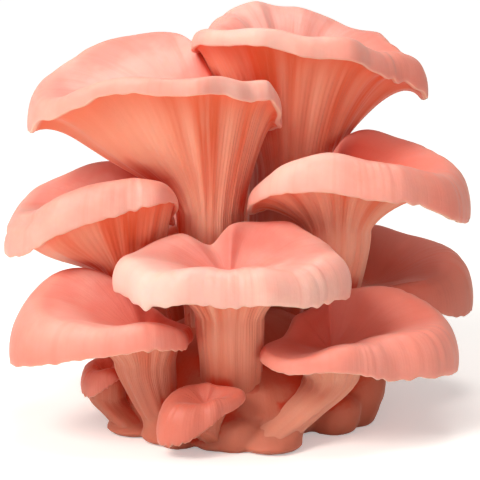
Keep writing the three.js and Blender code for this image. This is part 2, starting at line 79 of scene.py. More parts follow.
# One entry for each mushroom. neck is the point where the cap flares from the stem, foot the stem's
# lower end. reach, rise and drop are given round the cap at equal angles, starting at the right and
# turning by way of the back: how far the margin stands out from the neck's axis, how high its crest
# is above the neck, and how far its lip hangs below the crest. dish is the height of the hollow in
# the cap's middle. flare and hollow shape the underside, tuck is the angle that the lip turns in by,
# waves is (count, height, phase) round the margin, and folds is the number of main folds underneath.
# The next ones are in degrees, millimetres and shares. wrinkles is (middle angle, spread, depth) of the
# creased part of the margin. Each of the teeth is (angle, spread, length) of a drop or notch of the
# lip, and each of the creases (angle, spread, share of the roll, width, depth) of a groove along it.
# lumps is how uneven the cap is, and bulge is (angle, spread, height) where the underside is fuller.
# Of the colours, hollow_shade is (angle, strength) of painted shade, deep red, in the hollow, brown is
# how far the flesh is browner and darker, partly its own tone and partly painted shade, painted_light
# is (angle, strength on the cap, strength on the stem) of painted light where the flesh is lit, and
# painted_shade is (angle, strength) of painted shade, deep red, on the stem and the underside.
MUSHROOMS = {
    "mushroom_top_left": dict(
        neck=(-10, -8, 70), neck_radius=10.5, foot=(-9, -6, 12), foot_radius=9, dish=31,
        flare=0.12, hollow=0.38, tuck=8, waves=(7, 1.0, 0.6), folds=26,
        wrinkles=(200, 60, 0.25), lumps=1.2, bulge=(191, 76, 4.6),
        teeth=((191, 3, 1.6), (197, 3, -1.2), (215, 3, 0.6)),
        hollow_shade=(60, 0.15), brown=0.0, painted_light=(0, 0, 0.4), painted_shade=(350, 0.7),
        reach=(23, 17, 15, 15.2, 19.3, 31.5, 47, 56, 62, 57, 47, 40, 34, 30, 27, 26),
        rise=(36, 32, 30, 37, 45.3, 57.5, 55, 49, 41, 42, 48, 50, 49, 48, 46, 42),
        drop=(8, 6, 5, 5, 5, 5, 7, 10, 14, 7, 5, 5, 5, 6, 6, 7),
    ),
    "mushroom_top_right": dict(
        neck=(17.3, 19, 80), neck_radius=14.8, foot=(12, 18, 12), foot_radius=10, dish=26,
        flare=0.2, hollow=0.27, tuck=8, waves=(7, 1.1, 2.2), folds=26,
        wrinkles=(350, 50, 0.5), lumps=1.8, bulge=(164, 50, 3.8),
        teeth=((352, 3, 1.6), (344, 2.5, 1.0), (4, 3, 0.8), (332, 2.5, 0.7)),
        hollow_shade=(90, 0.2), brown=0.0, painted_light=(0, 0, 0.3), painted_shade=(215, 0.8),
        reach=(47, 44, 39.5, 34.8, 30, 33.2, 36.5, 32.6, 28.5, 35, 42.5, 41.2, 39, 38.8, 38.4, 42.8),
        rise=(38, 42, 46, 50, 54, 55, 54, 52, 51, 48, 52, 52, 51, 49, 46, 42),
        drop=(13, 11, 9, 7, 7, 12, 19, 20, 9.5, 6, 5, 5, 6, 7, 8, 10),
    ),
    "mushroom_mid_left": dict(
        neck=(-36, -10, 46), neck_radius=10, foot=(-26, -4, 10), foot_radius=7.5, dish=24,
        flare=0.12, hollow=0.22, tuck=12, waves=(5, 0.8, 1.1), folds=20,
        wrinkles=(250, 60, 0.2), hollow_shade=(40, 0.6), brown=0.0, bulge=(204, 66, 4.8),
        creases=((196, 30, 0.42, 0.1, 1.5), (188, 20, 0.72, 0.08, 0.8)),
        reach=(13, 13, 13, 15, 18, 24, 31, 39, 44, 41, 36, 31, 27, 25, 22, 16),
        rise=(22, 25, 32, 37, 39, 38, 36, 31, 25, 28, 34, 38, 40, 38, 34, 27),
        drop=(3, 3, 4, 5, 6, 7, 9, 12, 14, 15, 14, 12, 10, 7, 4, 3),
    ),
    "mushroom_mid_right": dict(
        neck=(33, -11, 64), neck_radius=10, foot=(28, 0, 12), foot_radius=7, dish=15,
        flare=0.3, hollow=0.15, tuck=10, waves=(5, 0.7, 0.2), folds=22,
        wrinkles=(330, 60, 0.5), hollow_shade=(75, 1.0), brown=0.0, painted_shade=(190, 0.6), painted_light=(0, 0, 0.25),
        reach=(44, 42, 38, 31, 14.5, 13.5, 14, 22, 30.5, 32.5, 32, 31, 30, 32, 36, 42),
        rise=(21, 24, 28, 30, 27, 22, 17, 12, 10.5, 17, 26, 29, 30, 28, 25, 22),
        drop=(17, 14, 11, 8, 5, 3, 3, 4, 5, 6, 9, 11, 12, 12, 12, 15),
    ),
    "mushroom_front": dict(
        neck=(-3.3, -41, 42), neck_radius=11, foot=(-2.3, -33, 4), foot_radius=9.5, dish=13,
        flare=0.3, hollow=0.1, tuck=22, waves=(6, 0.9, 1.9), folds=22,
        wrinkles=(310, 65, 0.45), hollow_shade=(115, 0.4), brown=0.0, painted_light=(222, 0.5, 0),
        teeth=((217, 3, 1.8), (232, 4, 0.8), (206, 3, 0.7)),
        reach=(38, 34, 29, 24, 19, 18, 25, 32, 36.5, 35.5, 33, 30, 28, 29, 33, 37),
        rise=(22, 25, 27, 27.5, 26, 21, 23.5, 22, 20, 19.5, 20, 20.5, 20.5, 20.5, 20, 21),
        drop=(15, 11, 7, 5, 4, 3, 5, 9, 11, 11, 10.5, 10.5, 10.5, 11, 11, 13),
    ),
    "mushroom_low_left": dict(
        neck=(-31, -36, 25), neck_radius=9.5, foot=(-25, -42, 2), foot_radius=5.5, dish=10,
        flare=0.3, hollow=0.1, tuck=12, waves=(4, 0.6, 0.9), folds=20,
        wrinkles=(270, 60, 0.2), hollow_shade=(35, 1.0), brown=0.0,
        reach=(15, 13, 13, 14, 18.5, 36, 44, 38, 31, 26, 22, 17),
        rise=(12, 13, 14, 16.5, 23, 28.3, 22, 18, 18, 19, 16, 13),
        drop=(4, 3, 3, 3, 7, 16, 20, 14, 9, 8, 7, 5),
    ),
    "mushroom_low_right": dict(
        neck=(30, -33, 20), neck_radius=9.5, foot=(10, -49, 2), foot_radius=8.5, dish=9,
        flare=0.3, hollow=0.1, tuck=14, waves=(5, 0.8, 2.7), folds=20,
        wrinkles=(340, 60, 0.6), hollow_shade=(165, 1.0), brown=0.0, painted_light=(300, 0.1, 0.45),
        teeth=((316, 4, 0.9), (326, 3, 0.8), (338, 3, 0.9)),
        reach=(42, 38, 29, 18.5, 14, 13.5, 14, 16, 17, 24, 30, 29, 27, 27, 28, 35),
        rise=(19, 23, 26, 26, 24, 22, 19, 16, 14, 12.5, 12, 13, 15, 16, 16, 17),
        drop=(16, 13, 10, 7, 5, 4, 4, 4, 4, 4, 4, 5, 7, 9, 12, 14),
    ),
    "mushroom_far_right": dict(
        neck=(45, 14, 28), neck_radius=10, foot=(38, 15, 3), foot_radius=7.5, dish=12,
        flare=0.3, hollow=0.1, tuck=14, waves=(4, 0.8, 0.4), folds=20,
        wrinkles=(340, 60, 0.3), hollow_shade=(190, 0.9), brown=0.55,
        creases=((300, 30, 0.05, 0.12, 1.2),),
        reach=(36, 33, 24, 20, 14.5, 13.5, 16, 27),
        rise=(21, 25, 28, 23, 18, 15, 14, 16),
        drop=(19, 12, 8, 5, 4, 4, 5, 9),
    ),
    "mushroom_foot_left": dict(
        neck=(-44.3, -26, 11), neck_radius=6, foot=(-35.5, -31, 2), foot_radius=7.3, dish=8,
        flare=0.25, hollow=0.05, tuck=25, waves=(3, 0.3, 0.9), folds=14,
        wrinkles=(220, 60, 0.1), hollow_shade=(0, 0.2), brown=0.0,
        reach=(8, 8.2, 9, 9.5, 9.5, 9, 9, 9.5, 10, 9, 8, 8),
        rise=(12, 12, 12, 12, 11.5, 11, 10.5, 10, 10, 10.5, 11, 11.5),
        drop=(3, 3, 4, 5, 6, 7, 8, 8, 8, 6, 4, 3),
    ),
    "mushroom_foot_front": dict(
        neck=(-11, -53, 8), neck_radius=4.5, foot=(-8, -49, 2), foot_radius=5, dish=8,
        flare=0.3, hollow=0.1, tuck=20, waves=(4, 0.4, 0.3), folds=14,
        wrinkles=(220, 60, 0.1), hollow_shade=(90, 0.2), brown=0.5,
        reach=(12.5, 8.5, 8, 10.5, 15.5, 15, 10, 9.5),
        rise=(12, 13, 13, 12.5, 10.5, 9.5, 10.5, 11.5),
        drop=(3, 3, 3, 4, 12, 12.5, 8, 5),
    ),
    "mushroom_back_left": dict(
        neck=(-27, 21, 44), neck_radius=9, foot=(-21, 14, 6), foot_radius=7.5, dish=10,
        flare=0.3, hollow=0.1, tuck=14, waves=(5, 0.8, 1.4), folds=18,
        wrinkles=(120, 60, 0.4), hollow_shade=(300, 0.4), brown=0.1,
        reach=(20, 26, 32, 34, 28, 18, 13, 15),
        rise=(20, 18, 16, 16, 16, 14, 16, 18),
        drop=(5, 7, 11, 13, 12, 5, 3, 3),
    ),
    "mushroom_back_right": dict(
        neck=(9, 49, 61), neck_radius=9.5, foot=(9, 38, 3), foot_radius=7.5, dish=10,
        flare=0.3, hollow=0.1, tuck=14, waves=(5, 0.8, 0.8), folds=20,
        wrinkles=(60, 60, 0.4), hollow_shade=(270, 0.4), brown=0.2,
        reach=(28, 32, 30, 28, 24, 16, 13.5, 17),
        rise=(16, 16, 15, 16, 18, 18, 18, 17),
        drop=(9, 12, 13, 9, 6, 3, 3, 5),
    ),
    "mushroom_back_low": dict(
        neck=(-19, 41, 20), neck_radius=8.5, foot=(-14, 33, 3), foot_radius=7, dish=8,
        flare=0.3, hollow=0.1, tuck=14, waves=(4, 0.8, 2.0), folds=18,
        wrinkles=(90, 60, 0.4), hollow_shade=(300, 0.4), brown=0.2,
        reach=(13.5, 18, 27, 30, 28, 16, 12.5, 12.5),
        rise=(14, 13, 12, 12, 13, 14, 14, 14),
        drop=(7, 10, 11, 10, 8, 4, 3, 4),
    ),
}

# The butt: a mound with rounded stubs round its edge. The profile gives shares of reach and height.
MOUND_REACH = (44, 43, 42, 42, 43, 48, 50, 44)
MOUND_HEIGHT = 36
MOUND_PROFILE = ((0.88, 0), (0.94, 0.06), (0.98, 0.16), (1, 0.28), (0.88, 0.48), (0.66, 0.7), (0.36, 0.9))
MOUND_TURNS = 96
STUBS = (
    # x, y, radius, height, lean along x, lean along y
    (-20, -46, 6, 7, -1, -1),
    (-2, -48, 8, 11, 0, -2),
    (31, -29, 8, 13, 3, -3),
    (36, -19, 10, 22, 6, -3),
    (38, -4, 9, 18, 6, 1),
    (-40, -4, 8, 14, -3, 0),
    (-35, 20, 8, 14, -2, 1),
    (24, 34, 8, 12, 1, 2),
)
STUB_ROWS = 12
STUB_TURNS = 48

# How each stem's foot spreads into the butt
FOOT_ROWS = 12
FOOT_INSET = 0.8
FOOT_SPREAD = 2.8
FOOT_SOLE = 1.2
SOLE_INWARD = 0.96
FOOT_SHARE_OF_STEM = 0.5
FOOT_SHARE_OF_MOUND = 0.8

# How the butt's bodies are joined, how uneven its sides are as (height, size, seed), and how many
# points its openness is measured at
REMESH_STEP = 0.9
SOFTEN_FACTOR = 0.5
SOFTEN_STEPS = 4
BUTT_SWELL = ((0.6, 11, 4), (0.3, 5, 9))
BUTT_LIGHT_POINTS = 2500
BUTT_LIGHT_NEIGHBOURS = 4

# How openness to the surroundings is measured, with rays between coarse copies of the shapes
COARSE_TURNS = 60
COARSE_ROWS = 3
LIGHT_RAYS = 20
LIGHT_REACH = 45
LIGHT_LIFT = 0.9
SKEW = (0.31, 0.95, 0.05)
LEAST_LENGTH = 1e-9

# How the streaks of the colours run along the stem and gills, and round the butt, whose colours are
# those near the lower end of a stem
GRAIN_TURN = 9
GRAIN_LENGTH = 0.9
BUTT_GRAIN_TURN = 14
BUTT_GRAIN_LENGTH = 0.03
BUTT_ALONG = 1.8
BUTT_BROWN_AND_SHADE = 0.5


def around(values, angle):
    """A smooth closed run through values given at equal angles."""
    values = np.asarray(values, float)
    count = len(values)
    turn = (angle / (2 * math.pi) * count) % count
    step = np.floor(turn).astype(int)
    f = turn - step
    a, b, c, d = (values[(step + k) % count] for k in (-1, 0, 1, 2))
    square = 2 * a - 5 * b + 4 * c - d
    cube = 3 * b - a - 3 * c + d
    return 0.5 * (2 * b + (c - a) * f + square * f**2 + cube * f**3)


def away_from(angle, middle, spread):
    """How far angles are from a middle one, where 1 is about the spread, both in degrees."""
    return np.sin((angle - math.radians(middle)) / 2) / math.sin(math.radians(spread) / 2)


def facing(angle, middle, power):
    """1 at the middle angle, given in degrees, falling to 0 opposite it."""
    return (0.5 + 0.5 * np.cos(angle - math.radians(middle))) ** power


def smooth_noise(x, y, z, size, seed):
    """Soft lumps of about the given size, from -1 to 1."""
    total = np.zeros(np.broadcast(x, y, z).shape)
    turn = seed
    for _ in range(6):
        turn = turn * 1.7 + 1.3
        a, b, c = math.sin(turn), math.cos(2.3 * turn), math.sin(3.1 * turn + 1)
        length = math.hypot(a, b, c)
        k = 2 * math.pi / (size * (0.8 + 0.5 * abs(math.sin(5 * turn))))
        total = total + np.sin(k * (a * x + b * y + c * z) / length + 7 * turn)
    return total / 6


def margin_of(m, angle):
    """The margin's reach, crest, lip and wrinkled part at each angle."""
    count, height, phase = m["waves"]
    reach = around(m["reach"], angle)
    reach = reach + height * np.sin(count * angle + phase)
    reach = reach + 0.5 * height * np.sin((2 * count + 1) * angle + 2.1 * phase)
    rise = around(m["rise"], angle) + 0.8 * height * np.sin((count + 1) * angle + 1.7 * phase)
    drop = np.maximum(around(m["drop"], angle), LEAST_DROP)
    middle, spread, _ = m["wrinkles"]
    creased = np.exp(-(away_from(angle, middle, spread) ** 2))
    fine = np.sin(31 * angle + 3 * np.sin(2 * angle + phase))
    fine = fine + 0.6 * np.sin(47 * angle + 2 * np.sin(3 * angle))
    fine = fine * (0.6 + 0.4 * np.sin(5 * angle + 2 * phase))
    drop = drop + SCALLOP * fine * (0.35 + creased)
    for middle, spread, length in m.get("teeth", ()):
        drop = drop + length * np.exp(-(away_from(angle, middle, spread) ** 2))
    roll = np.maximum(LEAST_ROLL, 0.5 * drop)
    return dict(reach=reach, rise=rise, drop=drop, roll=roll, crest=reach - roll, creased=creased)


def roll_point(m, margin, share):
    """Radius and height on the rolled lip, from its crest at 0 to its edge at 1."""
    most = math.pi / 2 + math.radians(m["tuck"])
    depth = margin["drop"] / (1 - math.cos(most))
    radius = margin["crest"] + margin["roll"] * math.sin(share * most)
    return radius, margin["rise"] - depth * (1 - math.cos(share * most))


def under_point(m, margin, neck, t):
    """Radius and height on the underside, from the lip at 0 to the neck at 1."""
    tuck = math.radians(m["tuck"])
    lip_radius, lip_height = roll_point(m, margin, 1)
    start_radius = lip_radius - MARGIN_THICKNESS * math.cos(tuck)
    start_height = lip_height + MARGIN_THICKNESS * math.sin(tuck)
    inward = m["hollow"] * (margin["reach"] - neck)
    radii = (start_radius, start_radius + 0.4 * margin["roll"] * math.sin(tuck) - inward, neck, neck)
    outer_height = margin["rise"] + 0.2 * margin["drop"] - 0.35 * m["hollow"] * margin["rise"]
    heights = (start_height, outer_height, m["flare"] * margin["rise"], 0 * neck)
    weights = ((1 - t) ** 3, 3 * (1 - t) ** 2 * t, 3 * (1 - t) * t**2, t**3)
    radius = sum(w * r for w, r in zip(weights, radii))
    return radius, sum(w * h for w, h in zip(weights, heights))


def under_normal(m, margin, neck, t):
    """The way out of the underside, as its parts along the radius and upwards."""
    r0, z0 = under_point(m, margin, neck, max(0, t - 0.02))
    r1, z1 = under_point(m, margin, neck, min(1, t + 0.02))
    length = np.hypot(r1 - r0, z1 - z0)
    return (z0 - z1) / length, (r1 - r0) / length


def stem_middle(m, s):
    """The stem's middle line, from the neck at 0 to the foot at 1."""
    neck, foot = np.array(m["neck"], float), np.array(m["foot"], float)
    third = np.array((0, 0, 0.3 * (neck[2] - foot[2])))
    a, b, c, d = neck, neck - third, foot + third, foot
    return (1 - s) ** 3 * a + 3 * (1 - s) ** 2 * s * b + 3 * (1 - s) * s**2 * c + s**3 * d


def stem_radius(m, neck, s):
    """The stem's radius without its relief, from the neck at 0 to the foot at 1."""
    blend = s * s * (3 - 2 * s)
    return neck * (1 - blend) + m["foot_radius"] * blend


def bulge_at(m, angle, t):
    """How much fuller the underside is at its bulge."""
    middle, spread, height = m.get("bulge", (0, 90, 0))
    away = away_from(angle, middle, spread)
    return height * np.exp(-(away**2)) * math.sin(math.pi * min(1, t / 0.8)) ** 1.5


def gill_wave(angle, count):
    """Rounded crests with wider hollows between them, from 0 to 1."""
    return (0.5 + 0.5 * np.cos(count * angle)) ** 1.5


class MushroomRings:
    """Rings of points from the cap's middle to the foot, with the values that the colours need."""

    def __init__(self, m, count):
        angle = np.arange(count) * 2 * math.pi / count
        self.m = m
        self.angle = angle
        self.cos = np.cos(angle)
        self.sin = np.sin(angle)
        self.seed = m["neck"][0] + 2.7 * m["neck"][1]
        self.margin = margin_of(m, angle)
        self.neck = m["neck_radius"] * (1 + 0.06 * np.cos(2 * angle + m["waves"][2]))
        self.room = np.clip((self.margin["reach"] - m["neck_radius"] - 3) / 14, 0, 1)
        self.sway = 0.05 * np.sin(3 * angle + self.seed) + 0.02 * np.sin(7 * angle + 2 * self.seed)
        wrinkle = np.sin(44 * angle + 6 * np.sin(3 * angle))
        wrinkle = wrinkle + 0.7 * np.sin(71 * angle + 4 * np.sin(5 * angle + 1))
        wrinkle = wrinkle * (0.55 + 0.45 * np.sin(7 * angle + self.seed))
        self.wrinkle = WRINKLE_HEIGHT * wrinkle * self.margin["creased"] * m["wrinkles"][2]
        self.rings = []
        self.under = []
        self.edge = []
        self.along = []
        self.add_cap()
        self.add_lip()
        self.add_underside()
        self.add_stem()

    def add(self, radius, height, side, margin_share, length, middle=None):
        """One ring. side is 0 above and 1 below, and length runs from -1 by 0 at the lip to 2."""
        x0, y0, z0 = self.m["neck"] if middle is None else middle
        z = z0 + height + np.zeros(len(self.angle))
        self.rings.append(np.stack((x0 + radius * self.cos, y0 + radius * self.sin, z), axis=1))
        self.under.append(side)
        self.edge.append(margin_share)
        self.along.append(length)

    def lumps(self, radius, height, share):
        """How far the flesh stands out unevenly, broad lumps with smaller ones on them."""
        x0, y0, z0 = self.m["neck"]
        x, y, z = x0 + radius * self.cos, y0 + radius * self.sin, z0 + height
        broad = smooth_noise(x, y, z, BROAD_LUMP, self.seed)
        small = smooth_noise(x, y, z, SMALL_LUMP, self.seed + 1)
        return self.m.get("lumps", 1) * LUMP_HEIGHT * share * (broad + 0.35 * small)

    def add_cap(self):
        """The upper side, from the hollow in the middle to the crest of the margin."""
        dish = self.m["dish"]
        for q in np.linspace(0, 1, CAP_ROWS + 1)[1:]:
            climb = math.sin(0.5 * math.pi * q) ** 1.6
            radius = q * self.margin["crest"]
            height = dish + (self.margin["rise"] - dish) * climb
            unevenness = math.sin(math.pi * min(1, 1.2 * q) ** 0.7) ** 2 + 0.3 * q
            height = height + self.lumps(radius, height, unevenness)
            height = height + 0.5 * self.wrinkle * max(0, q - 0.6) / 0.4
            self.add(radius, height, 0, q**6, q - 1)

    def add_lip(self):
        """The rolled lip from its crest to its edge, with grooves along it, and the turned edge."""
        for share in np.linspace(0, 1, LIP_ROWS + 1)[1:]:
            radius, height = roll_point(self.m, self.margin, share)
            for middle, spread, level, width, depth in self.m.get("creases", ()):
                away = away_from(self.angle, middle, spread)
                line = level + 0.1 * np.sin(2.5 * (self.angle - math.radians(middle)))
                radius = radius - depth * np.exp(-(away**2) - ((share - line) / width) ** 2)
            outward = self.wrinkle * (1 - 0.4 * share)
            radius = radius + outward + self.lumps(radius, height, 0.4 * (1 - share))
            upward = 0.5 * self.wrinkle * (1 - share)
            height = height + upward + self.lumps(radius, height, 0.3 * (1 - share))
            self.add(radius, height, 0.15 * share**4, 1, 0)
        lip_radius, lip_height = roll_point(self.m, self.margin, 1)
        tuck = math.radians(self.m["tuck"])
        for turn in TURNED_EDGE:
            inward = MARGIN_THICKNESS * (0.5 - 0.5 * math.cos(turn * math.pi))
            bulge = LIP_BULGE * math.sin(turn * math.pi)
            radius = lip_radius + 0.6 * self.wrinkle - inward * math.cos(tuck)
            height = lip_height + inward * math.sin(tuck) - bulge
            self.add(radius, height, 0.3 + 0.5 * turn, 1, 0)

    def fold_at(self, bent):
        """Broad folds round the underside, from 0 to 1, at angles bent as the gills sway."""
        return 0.5 + 0.5 * np.cos(self.m["folds"] * bent + 1.5 * np.sin(2 * self.angle))

    def add_underside(self):
        """The gills, with shorter ones between them near the lip, on broader folds."""
        gills = self.m["folds"] * GILLS_PER_FOLD
        for t in np.linspace(0, 1, UNDER_ROWS):
            radius, height = under_point(self.m, self.margin, self.neck, t)
            out, up = under_normal(self.m, self.margin, self.neck, t)
            window = min(1, t / 0.12) * min(1, (1.25 - t) / 0.4)
            bent = self.angle + self.sway * t
            short = max(0, 1 - t / 0.45)
            gill = gill_wave(bent, gills) * (0.75 + 0.25 * np.sin(5 * self.angle + self.seed))
            gill = np.maximum(gill, short * gill_wave(bent + math.pi / gills, gills))
            relief = GILL_HEIGHT * gill + FOLD_HEIGHT * self.fold_at(bent) * min(1, 2 * t)
            depth = window * self.room * relief + bulge_at(self.m, self.angle, t)
            self.add(radius + depth * out, height + depth * up, 1, max(0, 1 - t / 0.1), t)

    def add_stem(self):
        """The gills fade out down the stem, and broad ridges take over."""
        folds = self.m["folds"]
        room = STEM_RELIEF * np.maximum(self.room, 0.3)
        ridge = 0.5 + 0.5 * np.cos((folds // 2) * self.angle + 2 * np.sin(self.angle + self.seed))
        for s in np.linspace(0, 1, STEM_ROWS + 1)[1:]:
            radius = stem_radius(self.m, self.neck, s)
            middle = stem_middle(self.m, s)
            bent = self.angle + self.sway * (1 + s)
            gill = gill_wave(bent, folds * GILLS_PER_FOLD) * max(0, 1 - s / 0.55)
            depth = room * (GILL_HEIGHT * gill + FOLD_HEIGHT * self.fold_at(bent) * (1 - s) ** 1.5)
            depth = depth + STEM_RIDGE * (ridge * (1 - 0.5 * s) - 0.5) * min(1, 3 * s)
            x, y = middle[0] + radius * self.cos, middle[1] + radius * self.sin
            swell = smooth_noise(x, y, middle[2], STEM_LUMP, self.seed + 2)
            depth = depth + STEM_SWELL * swell * min(1, 2 * s)
            self.add(radius + depth, 0, 1, 0, 1 + s, middle)


def ring_faces(rows, count):
    """Quads between neighbouring rings, facing out."""
    j = np.arange(count)
    following = (j + 1) % count
    row = np.arange(rows - 1)[:, None] * count
    quads = np.stack((row + j, row + count + j, row + count + following, row + following), axis=2)
    return quads.reshape(-1, 4)


def coarse_rows(rows):
    """Numbers of the rings that the coarse copy keeps."""
    return sorted(set(range(0, rows, COARSE_ROWS)) | {rows - 1})


def coarse_grid(rings):
    rows = coarse_rows(len(rings))
    return rings[rows][:, :: rings.shape[1] // COARSE_TURNS]


def light_directions():
    """Directions spread over the upper half sphere, denser towards its pole."""
    share = (np.arange(LIGHT_RAYS) + 0.5) / LIGHT_RAYS
    turn = np.arange(LIGHT_RAYS) * math.pi * (3 - math.sqrt(5))
    out = np.sqrt(share)
    return np.stack((out * np.cos(turn), out * np.sin(turn), np.sqrt(1 - share)), axis=1)


def openness(tree, points, normals):
    """How open each point is to its surroundings, from 0 in a deep crevice to 1 in the open."""
    local = light_directions()
    result = np.empty(len(points))
    for i, (point, normal) in enumerate(zip(points, normals)):
        side = np.cross(normal, SKEW)
        side /= np.linalg.norm(side)
        up = np.cross(normal, side)
        start = Vector(point + LIGHT_LIFT * normal)
        total = 0
        for direction in local @ np.stack((side, up, normal)):
            hit = tree.ray_cast(start, Vector(direction), LIGHT_REACH)
            total += 1 if hit[3] is None else hit[3] / LIGHT_REACH
        result[i] = total / LIGHT_RAYS
    return result


def grid_normals(grid):
    around_step = np.roll(grid, -1, axis=1) - np.roll(grid, 1, axis=1)
    down_step = np.gradient(grid, axis=0)
    normal = np.cross(down_step, around_step)
    return normal / np.maximum(np.linalg.norm(normal, axis=2, keepdims=True), LEAST_LENGTH)


def light_tree(shapes):
    """A search tree of the coarse copies of all the mushrooms."""
    points, faces, start = [], [], 0
    for rings, centre, foot in shapes.values():
        grid = coarse_grid(rings)
        rows = len(grid)
        points.extend(grid.reshape(-1, 3).tolist())
        faces.extend((ring_faces(rows, COARSE_TURNS) + start).tolist())
        points.append(centre.tolist())
        hub = start + rows * COARSE_TURNS
        faces.extend([hub, start + j, start + (j + 1) % COARSE_TURNS] for j in range(COARSE_TURNS))
        start = hub + 1
    return BVHTree.FromPolygons(points, faces)


def spread_to_rings(values, rings):
    """Values of the coarse grid at every point of the rings."""
    rows, count = rings.shape[:2]
    fine_turn = np.arange(count) * COARSE_TURNS / count
    first = np.floor(fine_turn).astype(int)
    share = fine_turn - first
    wide = values[:, first] * (1 - share) + values[:, (first + 1) % COARSE_TURNS] * share
    known = coarse_rows(rows)
    return np.stack([np.interp(np.arange(rows), known, column) for column in wide.T], axis=1)


def mesh_object(name, points, quads, triangles):
    """A smooth-shaded object in the scene, from points in millimetres."""
    mesh = bpy.data.meshes.new(name)
    faces = [tuple(f) for f in quads.tolist()] + [tuple(f) for f in triangles.tolist()]
    mesh.from_pydata((points * MM).tolist(), [], faces)
    mesh.polygons.foreach_set("use_smooth", [True] * len(mesh.polygons))
    mesh.update()
    obj = bpy.data.objects.new(name, mesh)
    bpy.context.scene.collection.objects.link(obj)
    return obj


def add_values(obj, name, values, kind="FLOAT"):
    layer = obj.data.attributes.new(name, kind, "POINT")
    field = "vector" if kind == "FLOAT_VECTOR" else "value"
    layer.data.foreach_set(field, np.ascontiguousarray(values, dtype=np.float32).ravel())


def shape_of(m):
    """The mushroom's rings with its middle above and its tip below, and the values on them."""
    turns = min(MOST_TURNS, max(LEAST_TURNS, round(max(m["reach"]) / REACH_PER_TURN)))
    surface = MushroomRings(m, COARSE_TURNS * int(turns))
    x0, y0, z0 = m["neck"]
    centre = np.array((x0, y0, z0 + m["dish"]), float)
    foot = np.array(m["foot"], float) - np.array((0, 0, FOOT_TIP * m["foot_radius"]))
    looks = (np.array(surface.under), np.array(surface.edge), np.array(surface.along), surface.angle)
    return (np.array(surface.rings), centre, foot), looks


def lofted(rings, first, last):
    """Points and faces of a closed body through rings with equal counts."""
    count = len(rings[0])
    rows = len(rings)
    points = np.vstack((np.concatenate(rings), first, last))
    j = np.arange(count)
    following = (j + 1) % count
    end = (rows - 1) * count
    top = np.stack((np.full(count, rows * count), j, following), axis=1)
    bottom = np.stack((end + following, end + j, np.full(count, rows * count + 1)), axis=1)
    return points, ring_faces(rows, count), np.vstack((top, bottom))


def build_mushroom(name, m, shape, looks, tree):
    """The mushroom as one piece, with the values that its material reads at each point."""
    rings, centre, foot = shape
    under, edge, along, angle = looks
    rows, count = rings.shape[:2]
    obj = mesh_object(name.replace("mushroom_", "flesh_"), *lofted(rings, centre, foot))

    def add_rings(value_name, grid, first, end):
        add_values(obj, value_name, np.concatenate((grid.ravel(), (first, end))))

    def over_rings(per_ring, per_angle=None):
        return np.outer(per_ring, np.ones(count) if per_angle is None else per_angle)

    add_rings("underside", over_rings(under), 0, 1)
    add_rings("margin", over_rings(edge), 0, 0)
    add_rings("along", over_rings(along), -1, 2)
    add_rings("brown", np.full((rows, count), m["brown"]), m["brown"], m["brown"])

    # Painted light: the outer cap and the stem are made lighter towards one side, where light falls on
    # them
    painted_light_angle, painted_light_cap, painted_light_stem = m.get("painted_light", (0, 0, 0))
    outer_cap = np.clip((along + 0.6) / 0.4, 0, 1) * (under < 0.5)
    stem = np.clip((along - 0.4) / 0.5, 0, 1) * np.clip((2 - along) / 0.6, 0, 1)
    painted_light = over_rings(painted_light_cap * outer_cap, facing(angle, painted_light_angle, 3))
    add_rings("painted_light", painted_light + over_rings(painted_light_stem * stem), 0, 0)

    # Painted shade: the stem and lower underside are made deep red on the side where shade falls
    painted_shade_angle, painted_shade_strength = m.get("painted_shade", (0, 0))
    painted_shade = np.clip((along - 0.3) / 0.7, 0, 1) * painted_shade_strength
    add_rings("painted_shade", over_rings(painted_shade, facing(angle, painted_shade_angle, 4)), 0, 0)

    # Painted shade: the cap's hollow is made deep red, most towards one side
    hollow_shade_angle, hollow_shade_strength = m["hollow_shade"]
    inside = np.clip((-0.03 - along) / 0.36, 0, 1)
    towards = facing(angle, hollow_shade_angle, 1.2) * hollow_shade_strength
    add_rings("hollow_shade", over_rings(inside, towards), 0.5 * hollow_shade_strength, 0)

    grid = coarse_grid(rings)
    open_grid = openness(tree, grid.reshape(-1, 3), grid_normals(grid).reshape(-1, 3))
    open_grid = open_grid.reshape(grid.shape[:2])
    add_rings("open", spread_to_rings(open_grid, rings), open_grid[0].mean(), 0.2)

    spin = np.concatenate((np.tile(angle, rows), (0, 0)))
    length = np.concatenate((np.repeat(along, count), (-1, 2)))
    shift = 3.1 * m["neck"][0] + 1.7 * m["neck"][1]
    turned = (GRAIN_TURN * np.cos(spin) + shift, GRAIN_TURN * np.sin(spin) - shift)
    add_values(obj, "grain", np.stack((*turned, GRAIN_LENGTH * length), axis=1), "FLOAT_VECTOR")
    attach(obj, "root")
    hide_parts(name)
    return obj


def level_ring(x, y, z, radius):
    angle = np.arange(STUB_TURNS) * 2 * math.pi / STUB_TURNS
    return np.stack((x + radius * np.cos(angle), y + radius * np.sin(angle), z + 0 * angle), axis=1)


def mound_body():
    angle = np.arange(MOUND_TURNS) * 2 * math.pi / MOUND_TURNS
    reach = around(MOUND_REACH, angle)
    rings = []
    for wide, high in reversed(MOUND_PROFILE):
        z = np.full(MOUND_TURNS, high * MOUND_HEIGHT)
        rings.append(np.stack((wide * reach * np.cos(angle), wide * reach * np.sin(angle), z), axis=1))
    return lofted(rings, (0, 0, MOUND_HEIGHT), (0, 0, 0))


def stub_body(x, y, radius, height, lean_x, lean_y):
    rings = []
    for share in np.linspace(1, 0, STUB_ROWS + 1)[1:]:
        rounded = (1 - (max(0, share - 0.3) / 0.7) ** 2.6) ** 0.5
        wide = radius * rounded * (0.9 + 0.1 * min(1, share / 0.25))
        rings.append(level_ring(x + share * lean_x, y + share * lean_y, share * height, wide))
    return lofted(rings, (x + lean_x, y + lean_y, height), (x, y, 0))


